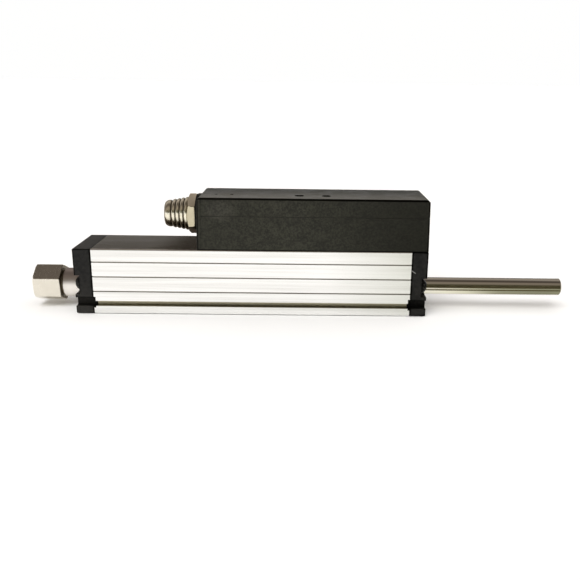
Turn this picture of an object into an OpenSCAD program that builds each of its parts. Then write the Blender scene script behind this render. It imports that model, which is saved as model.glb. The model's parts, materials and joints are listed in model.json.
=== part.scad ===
// Rod-type linear position transducer with a signal box on its back.
// X runs along the rod, which leaves the front cap towards +X. Z is up.
// The origin is the middle of the section's underside. Millimetres.

/* [Body] */
// Width and height of the square extruded section
section = 30; // [29:0.5:34]
// Working stroke of the rod
stroke = 100; // [60:5:200]
// Length that the carriage, buffers and spigots need beyond the stroke
dead_len = 43.2; // [42:0.1:60]
// Thickness of the section's walls
wall = 2.2; // [2:0.1:2.4]
// Radius of the section's long edges
edge_r = 0.6; // [0.3:0.1:1]

/* [Side grooves] */
// Height of the lowest thin groove
groove_first = 10.4; // [10:0.1:11]
// Spacing of the thin grooves
groove_pitch = 6.8; // [5:0.1:7]
// Thin grooves on each side
groove_count = 3; // [1:1:3]
// Width and depth of a thin groove
groove_size = 0.6; // [0.3:0.1:0.7]

/* [Clamp slot] */
// Height of the slot's lower lip
slot_low = 3.5; // [3.4:0.1:3.8]
// Width of the slot's mouth
slot_mouth = 2.4; // [2:0.1:2.6]
// Thickness of the lips beside the mouth
slot_lip = 1.6; // [1.2:0.1:2]
// Depth of the slot from the side face
slot_depth = 3.4; // [3:0.1:3.6]
// Undercut behind each lip
slot_undercut = 0.9; // [0.6:0.1:0.9]

/* [End caps] */
// Thickness of the rear cap
rear_cap_t = 8.3; // [8:0.1:10]
// Thickness of the front cap
front_cap_t = 7.5; // [7:0.1:9]
// Lower edge of the groove that carries the clamp slot across a cap
cap_groove_low = 3.3; // [3:0.1:3.4]
// Height of that groove
cap_groove_h = 3.9; // [3.4:0.1:3.9]
// Depth of that groove
cap_groove_d = 3.2; // [2.6:0.1:3.2]
// Height of the cap screws above the underside
port_z = 13.3; // [13.2:0.1:13.6]
// Height of the screw pockets, which are open to the sides
pocket_h = 9; // [8.2:0.1:9.4]
// Depth of the screw pockets
pocket_d = 2.5; // [1.5:0.1:3]
// Diameter of the cap screws' heads
head_d = 7.4; // [6.5:0.1:7.6]
// Height of the cap screws' heads
head_h = 3.2; // [2.2:0.1:3.4]

/* [Rod] */
// Diameter of the measuring rod
rod_d = 8; // [6:0.5:8]
// Height of the rod's axis above the underside
rod_z = 10.4; // [10.2:0.1:10.6]
// Length of rod that stands out when it is pushed in
rod_retracted = 15.5; // [10:0.5:40]
// Drilled diameter of the threaded hole in the tip
tip_hole_d = 4.2; // [2.5:0.1:4.2]
// Depth of the threaded hole
tip_hole_len = 12; // [6:1:20]
// Length of the carriage on the rod's inner end
carriage_len = 28; // [24:1:30]

/* [Rear gland] */
// Diameter of the gland's round neck
neck_d = 13.4; // [12.5:0.1:15]
// Length of the neck
neck_len = 8.3; // [6:0.1:14]
// Gap between the neck's shoulder and the tightened nut
nut_gap = 0.9; // [0.3:0.1:2]
// Size of the hexagon nut across its flats
nut_af = 15.2; // [14.4:0.1:17]
// Length of the hexagon nut
nut_len = 12.4; // [11:0.1:16]
// Angle at which the nut's flats came to rest
nut_turn = 6; // [0:1:30]
// Bore of the rubber insert, for the cable
cable_d = 5.5; // [4:0.1:6]

/* [Box] */
// Length of the box along its underside
box_len = 103.6; // [100:0.1:108]
// Height of the box
box_h = 23.4; // [23:0.1:28]
// Thickness of the box's walls
box_wall = 2; // [1.6:0.1:2.2]
// Height of the parting line above the box's underside
seam_h = 15.1; // [14.5:0.1:16]
// Lean of the box's rear end over its height
rear_lean = 0.4; // [0.2:0.1:1.2]
// Lean of the box's front end over its height
front_lean = 0.4; // [0.2:0.1:1]
// Radius of the box's long and upright edges
box_r = 1; // [0.5:0.1:1.4]
// Radius of the top edges across the box's ends
box_end_r = 1.8; // [0.5:0.1:1.9]

/* [Adjusters] */
// Distance of the zero adjuster from the box's rear end
trim_x = 45.5; // [42:0.1:50]
// Spacing of the two adjusters
trim_gap = 12.1; // [9:0.1:13]
// Distance of the adjusters in front of the middle
trim_y = 6.1; // [4:0.1:7]
// Diameter of the screwdriver holes in the lid
trim_hole_d = 4.2; // [3:0.1:5]
// Distance of the first pinhole from the box's rear end
pinhole_x = 8; // [6:0.1:12]
// Spacing of the two pinholes
pinhole_gap = 7.1; // [4:0.1:9]
// Distance of the pinholes in front of the middle
pinhole_y = 4.4; // [2:0.1:8]
// Diameter of the pinholes
pinhole_d = 1.6; // [1:0.1:2]

/* [Box outlet] */
// Height of the outlet's axis above the box's underside
outlet_h = 13.75; // [13:0.05:14]
// Size of the outlet's hexagon across its flats
outlet_af = 16; // [14.5:0.1:16]
// Thickness of the outlet's hexagon
outlet_hex_t = 3.6; // [2.5:0.1:5]
// Bore of the outlet
outlet_bore_d = 6; // [4:0.1:6.4]
// Ribs on the tapered nose
rib_count = 5; // [3:1:7]
// Spacing of the ribs
rib_pitch = 1.9; // [1.4:0.1:2.4]
// Extra length of the rib at the nose's tip
tip_rib_extra = 1.3; // [0:0.1:2]
// Diameter of the nose at its tip
nose_tip_d = 11.6; // [9:0.1:13]
// Diameter of the nose beside the hexagon
nose_root_d = 15.4; // [13:0.1:15.6]

/* [Hidden] */
$fn = 48;
over = 1;
profile_len = stroke + dead_len;
body_len = rear_cap_t + profile_len + front_cap_t;
x_front = body_len / 2;
x_rear = -x_front;
x_prof0 = x_rear + rear_cap_t;
x_prof1 = x_front - front_cap_t;
half = section / 2;

// The section's hollow, wide above the clamp slots and narrow between them
slot_top = slot_low + slot_mouth + slot_undercut;
hollow_y = half - wall;
hollow_top = section - wall;
hollow_step = slot_top + wall;
hollow_low_y = half - slot_depth - wall;

// Screw ports, the round bosses that the cap screws cut their threads in
port_y = half - 4.4;
port_boss_d = 7;
port_hole_d = 3.3;
port_grip = 10;
screw_shank_d = 3.2;
cap_hole_d = 3.8;
recess_len = 4.2;
recess_w = 0.9;
recess_deep = 1.2;

// Caps: a short key round the clamp slot, a spigot in the hollow, a gasket in a recess
key_len = 0.8;
key_t = 0.6;
groove_lip_r = 0.9;
cap_edge_r = 0.5;
spigot_len = 2.5;
spigot_w = 13;
spigot_low = 3;
spigot_high = 20;
gasket_t = 0.8;
gasket_w = 1;
wire_bore_d = 7;

// Rod guide in the front cap
rod_gap = 0.05;
bush_d = 11;
scraper_d = 13;
scraper_t = 2.2;
scraper_lip = 0.6;
buffer_t = 2;
buffer_d = 12;
buffer_gap = 0.5;

// Long track board in guides below the section's ceiling
track_z = section - 8.9;
track_t = 1.6;
guide_d = 0.8;
guide_gap = 0.1;
film_t = 0.15;
film_w = 4;
film_y = 3.5;
film_end = 5;
board_end = 0.5;

// Rod and carriage, drawn at the middle of the stroke
x_stop_front = x_prof1 - spigot_len - buffer_t;
x_stop_rear = x_prof0 + spigot_len + buffer_t;
x_carriage = (x_stop_front + x_stop_rear) / 2;
x_tip = x_front + rod_retracted + stroke / 2;
rod_end_in = 4;
x_rod0 = x_carriage - carriage_len / 2 + rod_end_in;
rod_chamfer = 0.5;
fit_gap = 0.02;
pin_d = 3;
pin_in = 8;
block_w = 12;
block_low = 5.2;
head_low = port_z + port_boss_d / 2 + 0.5;
head_top = track_z - 1.7;
head_w = 2 * (hollow_y - 0.7);
shoe_len = 7;
shoe_h = 1.4;
shoe_deep = 1.2;
shoe_out = 0.35;
window_len = 7;
brush_t = 0.3;
brush_w = 3;
brush_foot = 9;
brush_arm = 8;
brush_tip = 1;
brush_droop = 0.4;
brush_gap = 0.15;

// Rear gland
gland_thread_d = 10;
gland_thread_len = rear_cap_t - 0.6;
gland_bore_d = 6.6;
nut_thread_d = 11.6;
nut_thread_len = 7;
insert_d = 10;
nut_face_t = 1.3;
nut_mouth_d = 7.6;
nut_chamfer = 0.5;
nut_face_drop = -0.5;
x_neck = x_rear - neck_len;
x_nut_end = x_neck - nut_gap;
x_nut = x_nut_end - nut_len;

// Box shells
box_z0 = section;
box_z1 = section + box_h;
seam_z = box_z0 + seam_h;
x_box0 = x_front - box_len;
floor_t = 2.2;
plate_t = 2;
rear_tilt = atan2(rear_lean, box_h);
front_tilt = atan2(front_lean, box_h);
foot_r = 0.5;
seam_w = 0.25;
seam_deep = 0.35;
skirt_t = 1;
skirt_h = 3;
skirt_gap = 0.1;
skirt_end = 6;
bead_r = 0.35;
bead_len = 12;
tongue_len = 5;
box_screw_x = [x_box0 + 26, x_box0 + 70];
box_screw_d = 2.9;
box_screw_head_d = 5.6;
box_screw_head_h = 2;
box_screw_bite = 1.2;
lead_x = x_front - 17.5;
lead_y = 4;
grommet_d = 5.5;
grommet_bore_d = 3.4;
grommet_flange_d = 8;
grommet_flange_t = 0.8;
wire_d = 1.1;
wire_ring = 0.95;

// Circuit board and what stands on it
board_x0 = x_box0 + 17;
board_x1 = x_front - 5.5;
board_w = 23.4;
board_t = 1.6;
board_z = box_z0 + 8.4;
board_top = board_z + board_t;
post_in = 4;
post_y = 8.5;
post_d = 5;
board_screw_d = 2.2;
board_screw_hole_d = 2.3;
board_screw_head_d = 4.4;
board_screw_head_h = 1.5;
board_screw_bite = 5;
trim_size = 7;
trim_body_h = 9.5;
rotor_d = 2.9;
rotor_h = 1.7;
rotor_in = 1.2;
rotor_gap = 0.2;
rotor_slot_w = 0.6;
rotor_slot_deep = 0.7;
ways = 3;
way_pitch = 5.08;
terminal_len = 8.2;
terminal_h = 9;
terminal_x = board_x0 + 8.5;
terminal_mouth = 3.2;
terminal_screw_d = 3;
terminal_screw_h = 3;
chips = [[24, 5, 10, 6.2, 1.7], [35, 6, 5, 4, 1.5], [62, -6, 6.5, 6.1, 2.2]];
cans = [[44, 6], [53, 6]];
can_d = 6.3;
can_h = 7.7;
can_r = 0.6;

// Box outlet
outlet_z = box_z0 + outlet_h;
x_plate = x_box0 + rear_lean * outlet_h / box_h;
boss_d = 18.6;
boss_out = 0.65;
inner_boss_d = 15;
inner_boss_in = plate_t + 0.8;
x_boss = x_plate - boss_out;
x_inner_boss = x_plate + inner_boss_in;
outlet_seal_t = 0.8;
outlet_seal_d = 18;
outlet_thread_d = 10;
locknut_af = 12.6;
locknut_t = 2.8;
x_hex = x_boss - outlet_seal_t;
rib_step = 0.7;
crown_edge = 0.28;
hex_chamfer = 0.6;

black = "#2a2a27";
box_black = "#383832";
alloy = "#d9d9d4";
plated = "#b9b3a5";
steel = "#a9a498";
rubber = "#191919";

// Extrudes an outline drawn in (Y, Z) from x over a length
module along_x(x, len) {
    translate([x, 0, 0])
        rotate([90, 0, 90])
            linear_extrude(len)
                children();
}

// Extrudes an outline drawn in (X, Z) over a width that is centred on Y
module along_y(width) {
    translate([0, width / 2, 0])
        rotate([90, 0, 0])
            linear_extrude(width)
                children();
}

// Turns a profile drawn as (radius, distance) about an axis that runs from x towards +X
module turned_x(x, z = rod_z, y = 0) {
    translate([x, y, z])
        rotate([0, 90, 0])
            rotate_extrude()
                children();
}

// The same, towards -X
module turned_back(x, z = rod_z, y = 0) {
    translate([x, y, z])
        rotate([0, -90, 0])
            rotate_extrude()
                children();
}

// Round bar or hole along X
module bar_x(d, x, len, y = 0, z = rod_z) {
    translate([x, y, z])
        rotate([0, 90, 0])
            cylinder(d = d, h = len);
}

// Hexagon along X with flats to the sides, a corner up
module hex_x(af, x, len, z) {
    translate([x, 0, z])
        rotate([0, 90, 0])
            cylinder(d = af / cos(30), h = len, $fn = 6);
}

// Repeats what is drawn on the +Y side on the other side too
module both_sides() {
    children();
    mirror([0, 1, 0])
        children();
}

// Repeats an outline drawn on the +Y side on the other side too
module both_halves() {
    children();
    mirror([1, 0])
        children();
}

// Rectangle with rounded corners, centred
module rounded_rect(w, h, r) {
    square([w - 2 * r, h], center = true);
    square([w, h - 2 * r], center = true);
    for (i = [-1, 1], j = [-1, 1])
        translate([i * (w / 2 - r), j * (h / 2 - r)])
            circle(r);
}

// Rectangle from x = 0, centred on the other axis, with rounded corners at x = 0
module eased_end(len, w, r) {
    translate([r, -w / 2])
        square([len - r, w]);
    translate([0, r - w / 2])
        square([len, w - 2 * r]);
    for (j = [-1, 1])
        translate([r, j * (w / 2 - r)])
            circle(r);
}

// What rounding takes off an outside corner at the origin, the material lying towards +x, +y
module corner_waste(r) {
    difference() {
        translate([-over, -over])
            square(r + over);
        translate([r, r])
            circle(r);
    }
}

// Half profile of a domed screw head below 0 and a plain shank above it
module screw_profile(d, h, shank_d, shank_len) {
    dome_r = (d * d / 4 + h * h) / (2 * h);
    intersection() {
        translate([0, dome_r - h])
            circle(dome_r);
        translate([0, -h])
            square([d / 2, h]);
    }
    square([shank_d / 2, shank_len]);
}

// Domed screw with a cross recess. The head's seat is at z = 0 and the shank points up.
module domed_screw(d, h, shank_d, shank_len, cross = recess_len) {
    difference() {
        rotate_extrude()
            screw_profile(d, h, shank_d, shank_len);
        for (turn = [0, 90])
            rotate([0, 0, turn])
                translate([0, 0, -h])
                    cube([cross, recess_w, 2 * recess_deep], center = true);
    }
}

// Extruded section

module hollow_outline(grow) {
    translate([-hollow_y - grow, hollow_step - grow])
        square([2 * (hollow_y + grow), hollow_top - hollow_step + 2 * grow]);
    translate([-hollow_low_y - grow, wall - grow])
        square([2 * (hollow_low_y + grow), hollow_step - wall + grow + over]);
}

module clamp_slot_outline() {
    translate([half - slot_lip - over, slot_low])
        square([slot_lip + 2 * over, slot_mouth]);
    translate([half - slot_depth, slot_low - slot_undercut])
        square([slot_depth - slot_lip, slot_mouth + 2 * slot_undercut]);
}

module thin_grooves_outline() {
    for (i = [0 : groove_count - 1])
        translate([half - groove_size, groove_first + i * groove_pitch - groove_size / 2])
            square([groove_size + over, groove_size]);
}

module port_outline(d) {
    both_halves()
        translate([port_y, port_z])
            circle(d = d);
}

module section_outline() {
    difference() {
        translate([0, half])
            rounded_rect(section, section, edge_r);
        difference() {
            hollow_outline(0);
            port_outline(port_boss_d);
        }
        port_outline(port_hole_d);
        both_halves() {
            clamp_slot_outline();
            thin_grooves_outline();
            translate([hollow_y - over, track_z])
                square([guide_d + over, track_t + guide_gap]);
        }
    }
}

module key_outline() {
    translate([half - cap_groove_d - key_t, cap_groove_low - key_t])
        square([cap_groove_d + key_t, cap_groove_h + 2 * key_t]);
}

module extruded_body() {
    color(alloy)
        difference() {
            along_x(x_prof0, profile_len)
                section_outline();
            both_sides()
                for (x = [x_prof0 - over, x_prof1 - key_len])
                    along_x(x, key_len + over)
                        key_outline();
            for (x = box_screw_x)
                translate([x, 0, hollow_top - over])
                    cylinder(d = box_screw_d, h = wall + 2 * over);
            translate([lead_x, lead_y, hollow_top - over])
                cylinder(d = grommet_d, h = wall + 2 * over);
        }
}

// End caps, drawn with the outer face at x = 0 and the inner face towards +X

module cap_groove_outline() {
    translate([half - cap_groove_d, cap_groove_low])
        square([cap_groove_d + over, cap_groove_h]);
    translate([half, cap_groove_low + cap_groove_h])
        mirror([1, 0])
            corner_waste(groove_lip_r);
}

module pocket_outline() {
    translate([port_y, port_z - pocket_h / 2])
        square([half - port_y + over, pocket_h]);
    translate([port_y, port_z])
        circle(d = pocket_h);
}

module gasket_outline() {
    difference() {
        hollow_outline(gasket_w);
        hollow_outline(0);
    }
}

module cap_form(t) {
    intersection() {
        along_x(0, t)
            translate([0, half])
                rounded_rect(section, section, edge_r);
        along_y(section)
            translate([0, half])
                eased_end(t, section, cap_edge_r);
        linear_extrude(section)
            eased_end(t, section, cap_edge_r);
    }
    both_sides()
        along_x(t, key_len)
            key_outline();
    along_x(t, spigot_len)
        translate([-spigot_w / 2, spigot_low])
            square([spigot_w, spigot_high - spigot_low]);
}

module end_cap(t) {
    difference() {
        cap_form(t);
        along_x(t - gasket_t, gasket_t + over / 10)
            gasket_outline();
        both_sides() {
            along_x(-over, t + key_len + 2 * over)
                cap_groove_outline();
            along_x(-over, pocket_d + over)
                pocket_outline();
            bar_x(cap_hole_d, 0, t + over, port_y, port_z);
        }
    }
}

module rear_end_cap() {
    color(black)
        difference() {
            translate([x_rear, 0, 0])
                end_cap(rear_cap_t);
            bar_x(gland_thread_d, x_rear - over, gland_thread_len + over);
            bar_x(wire_bore_d, x_rear, rear_cap_t + spigot_len + over);
        }
}

module front_end_cap() {
    color(black)
        difference() {
            translate([x_front, 0, 0])
                mirror([1, 0, 0])
                    end_cap(front_cap_t);
            bar_x(bush_d, x_prof1 - spigot_len - over, front_cap_t + spigot_len + 2 * over);
            bar_x(scraper_d, x_front - scraper_t, scraper_t + over);
        }
}

module rear_cap_gasket() {
    color(rubber)
        along_x(x_prof0 - gasket_t, gasket_t)
            gasket_outline();
}

module front_cap_gasket() {
    color(rubber)
        along_x(x_prof1, gasket_t)
            gasket_outline();
}

module rear_cap_screws() {
    color(black)
        both_sides()
            translate([x_rear + pocket_d, port_y, port_z])
                rotate([0, 90, 0])
                    domed_screw(head_d, head_h, screw_shank_d, rear_cap_t - pocket_d + port_grip);
}

module front_cap_screws() {
    color(black)
        both_sides()
            translate([x_front - pocket_d, port_y, port_z])
                rotate([0, -90, 0])
                    domed_screw(head_d, head_h, screw_shank_d, front_cap_t - pocket_d + port_grip);
}

// Rod guide and stops

module rod_bush() {
    bore_r = rod_d / 2 + rod_gap;
    color("#8a6f3d")
        turned_x(x_prof1 - spigot_len)
            translate([bore_r, 0])
                square([bush_d / 2 - bore_r, spigot_len + front_cap_t - scraper_t]);
}

module rod_scraper() {
    bore_r = rod_d / 2 + rod_gap;
    outer_r = scraper_d / 2;
    color(rubber)
        turned_x(x_front - scraper_t)
            polygon([
                [bore_r + scraper_lip, 0],
                [outer_r, 0],
                [outer_r, scraper_t],
                [bore_r, scraper_t],
                [bore_r, scraper_t - scraper_lip]
            ]);
}

module buffer_ring(x, bore) {
    turned_x(x)
        translate([bore / 2, 0])
            square([(buffer_d - bore) / 2, buffer_t]);
}

module front_buffer() {
    color(rubber)
        buffer_ring(x_stop_front, rod_d + 2 * buffer_gap);
}

module rear_buffer() {
    color(rubber)
        buffer_ring(x_stop_rear - buffer_t, wire_bore_d);
}

// Track

module track_board() {
    w = 2 * (hollow_y + guide_d - guide_gap);
    color("#3c5a3a")
        translate([x_prof0 + board_end, -w / 2, track_z])
            cube([profile_len - 2 * board_end, w, track_t]);
}

module track_films() {
    color("#202022")
        both_sides()
            translate([x_prof0 + film_end, film_y - film_w / 2, track_z - film_t])
                cube([profile_len - 2 * film_end, film_w, film_t]);
}

// Rod and carriage

module measuring_rod() {
    len = x_tip - x_rod0;
    r = rod_d / 2;
    color(steel)
        difference() {
            turned_x(x_rod0)
                polygon([[0, 0], [r, 0], [r, len - rod_chamfer], [r - rod_chamfer, len], [0, len]]);
            bar_x(tip_hole_d, x_tip - tip_hole_len, tip_hole_len + over);
            pin_hole();
        }
}

module pin_hole() {
    translate([x_rod0 + pin_in, section, rod_z])
        rotate([90, 0, 0])
            cylinder(d = pin_d + 2 * fit_gap, h = 2 * section);
}

module carriage_outline() {
    translate([-block_w / 2, block_low])
        square([block_w, head_top - block_low]);
    translate([-head_w / 2, head_low])
        square([head_w, head_top - head_low]);
}

// Places what is drawn for one shoe at the four corners of the carriage's head
module at_shoes() {
    both_sides()
        for (end = [-1, 1])
            translate([
                x_carriage + end * (carriage_len - shoe_len) / 2 - shoe_len / 2,
                head_w / 2 - shoe_deep,
                head_low
            ])
                children();
}

module wiper_carriage() {
    x0 = x_carriage - carriage_len / 2;
    color("#d8d2c0")
        difference() {
            along_x(x0, carriage_len)
                carriage_outline();
            bar_x(rod_d + 2 * fit_gap, x_rod0, carriage_len);
            pin_hole();
            at_shoes()
                cube([shoe_len, shoe_deep + over, shoe_h]);
            both_sides()
                translate([x_carriage - window_len / 2, block_w / 2 + over, head_low - over])
                    cube([window_len, head_w, head_top]);
        }
}

module carriage_pin() {
    color(steel)
        translate([x_rod0 + pin_in, block_w / 2, rod_z])
            rotate([90, 0, 0])
                cylinder(d = pin_d, h = block_w);
}

module slide_shoes() {
    color("#f0efe6")
        at_shoes()
            cube([shoe_len, shoe_deep + shoe_out, shoe_h]);
}

module brush_outline() {
    rise = track_z - film_t - brush_gap - head_top - brush_t;
    tip = -brush_arm - brush_tip;
    polygon([
        [brush_foot, 0],
        [brush_foot, brush_t],
        [0, brush_t],
        [-brush_arm, rise + brush_t],
        [tip, rise + brush_t - brush_droop],
        [tip, rise - brush_droop],
        [-brush_arm, rise],
        [0, 0]
    ]);
}

module wiper_brushes() {
    color("#b08a3c")
        both_sides()
            translate([x_carriage, film_y, head_top])
                along_y(brush_w)
                    brush_outline();
}

// Rear gland, turned about the rod's axis with distance counted from the cap towards the rear

module gland_body() {
    bore_r = gland_bore_d / 2;
    thread_r = gland_thread_d / 2;
    neck_r = neck_d / 2;
    nut_r = nut_thread_d / 2;
    end = neck_len + nut_gap + nut_thread_len;
    color(plated)
        turned_back(x_rear)
            polygon([
                [bore_r, -gland_thread_len],
                [thread_r, -gland_thread_len],
                [thread_r, 0],
                [neck_r, 0],
                [neck_r, neck_len],
                [nut_r, neck_len],
                [nut_r, end],
                [bore_r, end]
            ]);
}

// Hexagon whose outer end is chamfered all round as turned nuts are
module chamfered_hex(af, x, len, z, chamfer, drop) {
    corner_r = af / 2 / cos(30);
    intersection() {
        hex_x(af, x, len, z);
        turned_x(x, z)
            polygon([
                [0, 0],
                [af / 2 - drop, 0],
                [corner_r, chamfer],
                [corner_r, len],
                [0, len]
            ]);
    }
}

module gland_nut() {
    color(plated)
        difference() {
            translate([0, 0, rod_z])
                rotate([nut_turn, 0, 0])
                    chamfered_hex(nut_af, x_nut, nut_len, 0, nut_chamfer, nut_face_drop);
            bar_x(nut_thread_d + 2 * fit_gap, x_nut_end - nut_thread_len, nut_thread_len + over);
            bar_x(insert_d + 2 * fit_gap, x_nut + nut_face_t, nut_len - nut_face_t);
            bar_x(nut_mouth_d, x_nut - over, nut_len);
        }
}

module gland_seal() {
    color(rubber)
        turned_x(x_nut + nut_face_t)
            translate([cable_d / 2, 0])
                square([(insert_d - cable_d) / 2, nut_len - nut_face_t - nut_thread_len]);
}

// Box. Its ends lean inwards by the lean given, and its front is flush with the section.

module box_side_outline() {
    top_rear = x_box0 + rear_lean;
    top_front = x_front - front_lean;
    difference() {
        polygon([
            [x_box0, box_z0],
            [x_front, box_z0],
            [top_front, box_z1],
            [top_rear, box_z1]
        ]);
        translate([top_rear, box_z1])
            mirror([0, 1])
                corner_waste(box_end_r);
        translate([top_front, box_z1])
            rotate(180)
                corner_waste(box_end_r);
    }
}

module box_end_outline() {
    difference() {
        translate([-half, box_z0])
            square([section, box_h]);
        both_halves() {
            translate([half, box_z1])
                rotate(180)
                    corner_waste(box_r);
            translate([half, box_z0])
                mirror([1, 0])
                    corner_waste(foot_r);
        }
    }
}

module box_form() {
    tall = 2 * box_h;
    intersection() {
        along_y(section)
            box_side_outline();
        along_x(x_box0, box_len)
            box_end_outline();
        translate([x_box0, 0, box_z0])
            rotate([0, rear_tilt, 0])
                translate([0, 0, -box_h / 2])
                    linear_extrude(tall)
                        eased_end(2 * box_len, section, box_r);
        translate([x_front, 0, box_z0])
            rotate([0, -front_tilt, 0])
                translate([0, 0, -box_h / 2])
                    mirror([1, 0, 0])
                        linear_extrude(tall)
                            eased_end(2 * box_len, section, box_r);
    }
}

module box_inside() {
    along_y(section - 2 * box_wall)
        polygon([
            [x_box0 - over, box_z0 + floor_t],
            [x_front - box_wall, box_z0 + floor_t],
            [x_front - box_wall - front_lean, box_z1 - box_wall],
            [x_box0 - over, box_z1 - box_wall]
        ]);
}

// Slice of the box's rear end, of an even thickness along the leaning face
module rear_slice(t) {
    along_y(2 * section)
        polygon([
            [x_box0 - box_wall, box_z0 - over],
            [x_box0 + t - over * rear_lean / box_h, box_z0 - over],
            [x_box0 + t + rear_lean * (1 + over / box_h), box_z1 + over],
            [x_box0 - box_wall, box_z1 + over]
        ]);
}

// Everything above or below the parting line
module beyond_seam(up) {
    translate([x_box0 - section, -section, up ? seam_z : seam_z - 2 * box_h])
        cube([box_len + 2 * section, 2 * section, 2 * box_h]);
}

// Fine shadow line that runs round the box just above the parting line
module seam_line() {
    difference() {
        translate([x_box0 - over, -section, seam_z])
            cube([box_len + 2 * over, 2 * section, seam_w]);
        translate([x_box0, seam_deep - half, seam_z - over])
            cube([box_len - seam_deep - front_lean, section - 2 * seam_deep, 2 * over]);
    }
}

module at_posts() {
    for (x = [board_x0 + post_in, board_x1 - post_in], y = [-post_y, post_y])
        translate([x, y, 0])
            children();
}

module at_beads(y) {
    for (i = [1, 2])
        translate([x_box0 + i * box_len / 3 - bead_len / 2, y, seam_z - skirt_h / 2])
            rotate([0, 90, 0])
                children();
}

module box_base() {
    inner_y = half - box_wall;
    color(box_black)
        difference() {
            union() {
                difference() {
                    box_form();
                    beyond_seam(true);
                    box_inside();
                    rear_slice(plate_t);
                }
                at_posts()
                    translate([0, 0, box_z0 + floor_t / 2])
                        cylinder(d = post_d, h = board_z - box_z0 - floor_t / 2);
            }
            at_posts()
                translate([0, 0, board_z - board_screw_bite - over / 2])
                    cylinder(d = board_screw_hole_d, h = board_screw_bite + over);
            for (x = box_screw_x)
                translate([x, 0, box_z0 - over])
                    cylinder(d = box_screw_d + 2 * rotor_gap, h = floor_t + 2 * over);
            translate([lead_x, lead_y, box_z0 - over])
                cylinder(d = grommet_d, h = floor_t + 2 * over);
            both_sides()
                at_beads(inner_y)
                    cylinder(r = bead_r, h = bead_len);
        }
}

module box_lid() {
    inner_y = half - box_wall;
    skirt_y = inner_y - skirt_gap - skirt_t;
    skirt_x0 = x_box0 + plate_t + skirt_end;
    skirt_x1 = x_front - box_wall - front_lean - skirt_end;
    color(box_black)
        difference() {
            union() {
                difference() {
                    box_form();
                    beyond_seam(false);
                    box_inside();
                    rear_slice(plate_t);
                    seam_line();
                }
                both_sides() {
                    translate([skirt_x0, skirt_y, seam_z - skirt_h])
                        cube([skirt_x1 - skirt_x0, skirt_t, skirt_h]);
                    translate([skirt_x0, skirt_y, seam_z])
                        cube([skirt_x1 - skirt_x0, inner_y - skirt_y + box_wall / 2, skirt_t]);
                    at_beads(inner_y - skirt_gap)
                        cylinder(r = bead_r - fit_gap, h = bead_len);
                }
            }
            for (i = [0, 1])
                translate([x_box0 + trim_x + i * trim_gap, -trim_y, box_z1 - box_wall - over])
                    cylinder(d = trim_hole_d, h = box_wall + 2 * over);
            for (i = [0, 1])
                translate([x_box0 + pinhole_x + i * pinhole_gap, -pinhole_y, box_z1 - box_wall - over])
                    cylinder(d = pinhole_d, h = box_wall + 2 * over);
        }
}

module box_end_plate() {
    tongue_y = half - box_wall - skirt_gap - skirt_t;
    tongue_z = box_z0 + floor_t + skirt_gap;
    tongue_h = box_h - floor_t - box_wall - 2 * skirt_gap;
    bore_len = boss_out + inner_boss_in + 2 * over;
    color(box_black)
        difference() {
            union() {
                intersection() {
                    box_form();
                    rear_slice(plate_t);
                }
                bar_x(boss_d, x_boss, boss_out + plate_t / 2, 0, outlet_z);
                bar_x(inner_boss_d, x_plate + plate_t / 2, inner_boss_in - plate_t / 2, 0, outlet_z);
                both_sides()
                    translate([x_plate + plate_t / 2, tongue_y, tongue_z])
                        cube([tongue_len, skirt_t, tongue_h]);
            }
            bar_x(outlet_thread_d + 2 * fit_gap, x_boss - over, bore_len, 0, outlet_z);
        }
}

module box_fixing_screws() {
    seat = box_z0 + floor_t;
    color(steel)
        for (x = box_screw_x)
            translate([x, 0, seat])
                mirror([0, 0, 1])
                    domed_screw(
                        box_screw_head_d, box_screw_head_h, box_screw_d - 2 * fit_gap,
                        floor_t + wall + box_screw_bite, box_screw_head_d / 2
                    );
}

module lead_grommet() {
    bore_r = grommet_bore_d / 2;
    r = grommet_d / 2;
    flange_r = grommet_flange_d / 2;
    grip = wall + floor_t;
    color(rubber)
        translate([lead_x, lead_y, hollow_top])
            rotate_extrude()
                polygon([
                    [bore_r, -grommet_flange_t],
                    [flange_r, -grommet_flange_t],
                    [flange_r, 0],
                    [r, 0],
                    [r, grip],
                    [flange_r, grip],
                    [flange_r, grip + grommet_flange_t],
                    [bore_r, grip + grommet_flange_t]
                ]);
}

module track_leads() {
    foot = track_z + track_t;
    color("#7a2f2a")
        for (i = [0 : ways - 1])
            translate([lead_x, lead_y, foot])
                rotate([0, 0, i * 360 / ways])
                    translate([wire_ring, 0, 0])
                        cylinder(d = wire_d, h = board_z - foot);
}

// Circuit board

module signal_board() {
    color("#2f5d3a")
        difference() {
            translate([board_x0, -board_w / 2, board_z])
                cube([board_x1 - board_x0, board_w, board_t]);
            at_posts()
                translate([0, 0, board_z - over])
                    cylinder(d = board_screw_hole_d + 2 * rotor_gap, h = board_t + 2 * over);
        }
}

module board_screws() {
    color(steel)
        at_posts()
            translate([0, 0, board_top])
                mirror([0, 0, 1])
                    domed_screw(
                        board_screw_head_d, board_screw_head_h, board_screw_d,
                        board_t + board_screw_bite, board_screw_head_d / 2
                    );
}

// Adjusters, number 0 for zero and number 1 for span

module at_trimmer(i) {
    translate([x_box0 + trim_x + i * trim_gap, -trim_y, board_top])
        children();
}

module trimmer_body(i) {
    color("#2b4f8c")
        at_trimmer(i)
            difference() {
                translate([-trim_size / 2, -trim_size / 2, 0])
                    cube([trim_size, trim_size, trim_body_h]);
                translate([0, 0, trim_body_h - rotor_in])
                    cylinder(d = rotor_d + 2 * rod_gap, h = rotor_in + over);
            }
}

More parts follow.
